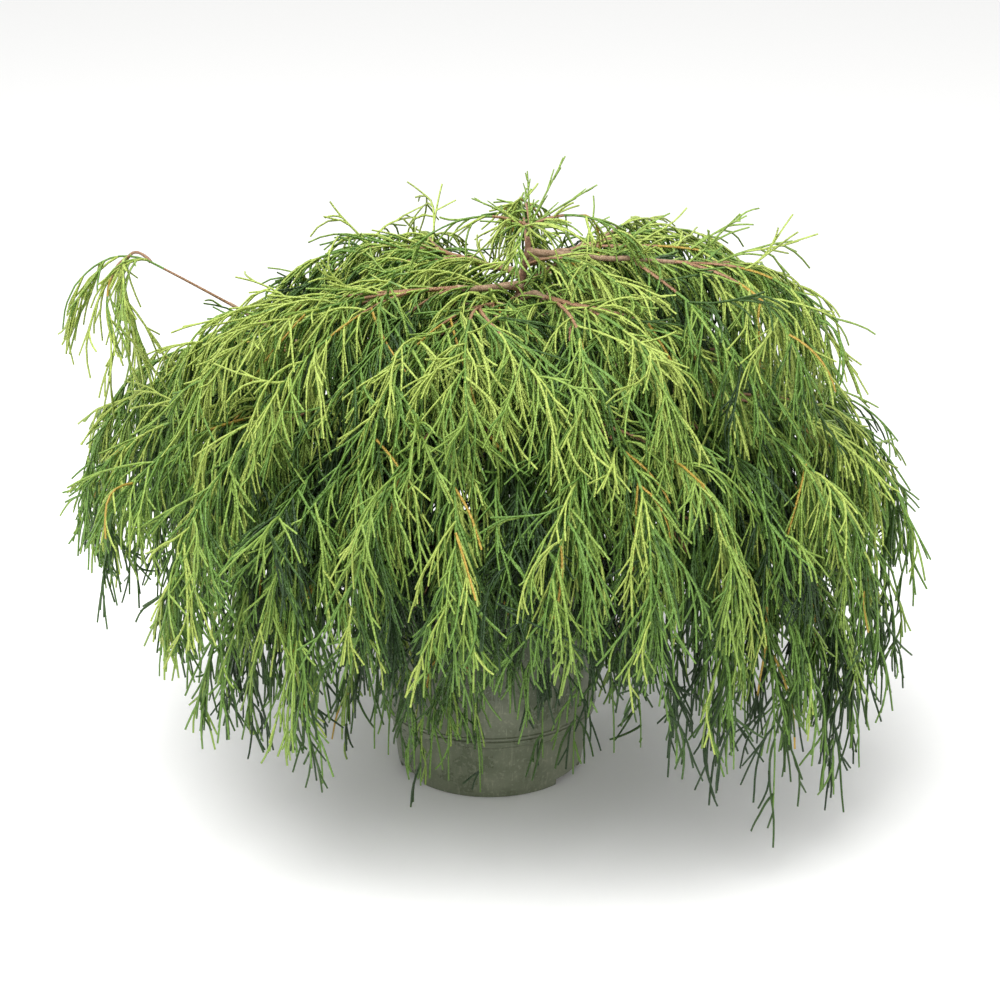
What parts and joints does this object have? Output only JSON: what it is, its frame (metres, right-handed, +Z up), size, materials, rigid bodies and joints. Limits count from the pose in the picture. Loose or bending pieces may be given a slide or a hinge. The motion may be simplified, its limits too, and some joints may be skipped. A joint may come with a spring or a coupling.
{
  "type": "potted weeping conifer",
  "caption": "Weeping threadleaf conifer with a leaning trunk, arching boughs and hanging sprays in a round moulded nursery pot.",
  "frame": {"origin": "centre of the pot's flat underside", "axes": "+Z up; +X to the right and +Y away as the picture shows the plant"},
  "size_m": [0.8092, 0.7585, 0.6158],
  "materials": {
    "pot_plastic": "satin",
    "growing_mix": "rough",
    "bark": "rough",
    "young_foliage": "matte",
    "old_foliage": "matte"
  },
  "bodies": {
    "root": {"pot": "pot_plastic", "growing_mix": "growing_mix", "trunk": "bark", "bough_upper_1": "bark", "foliage_upper_1": "young_foliage", "bough_upper_2": "bark", "foliage_upper_2": "young_foliage", "bough_upper_3": "bark", "foliage_upper_3": "young_foliage", "bough_upper_4": "bark", "foliage_upper_4": "young_foliage", "bough_upper_5": "bark", "foliage_upper_5": "young_foliage", "bough_upper_6": "bark", "foliage_upper_6": "young_foliage", "bough_upper_7": "bark", "foliage_upper_7": "young_foliage", "bough_upper_8": "bark", "foliage_upper_8": "young_foliage", "bough_middle_1": "bark", "foliage_middle_1": "old_foliage", "bough_middle_2": "bark", "foliage_middle_2": "old_foliage", "bough_middle_3": "bark", "foliage_middle_3": "old_foliage", "bough_middle_4": "bark", "foliage_middle_4": "old_foliage", "bough_middle_5": "bark", "foliage_middle_5": "old_foliage", "bough_middle_6": "bark", "foliage_middle_6": "old_foliage", "bough_middle_7": "bark", "foliage_middle_7": "old_foliage", "bough_middle_8": "bark", "foliage_middle_8": "old_foliage", "bough_top_front_left": "bark", "foliage_top_front_left": "young_foliage", "bough_top_front_right": "bark", "foliage_top_front_right": "young_foliage", "bough_top_left": "bark", "foliage_top_left": "young_foliage", "bough_top_right": "bark", "foliage_top_right": "young_foliage", "bough_top_back_right": "bark", "foliage_top_back_right": "young_foliage", "bough_top_back_left": "bark", "foliage_top_back_left": "young_foliage", "bough_far_left": "bark", "foliage_far_left": "young_foliage", "bough_low_left": "bark", "foliage_low_left": "old_foliage", "bough_pot_left": "bark", "foliage_pot_left": "old_foliage", "bough_pot_front": "bark", "foliage_pot_front": "old_foliage", "bough_pot_right": "bark", "foliage_pot_right": "old_foliage", "bough_low_right": "bark", "foliage_low_right": "old_foliage", "foliage_leader_tuft": "young_foliage"}
  },
  "joints": []
}
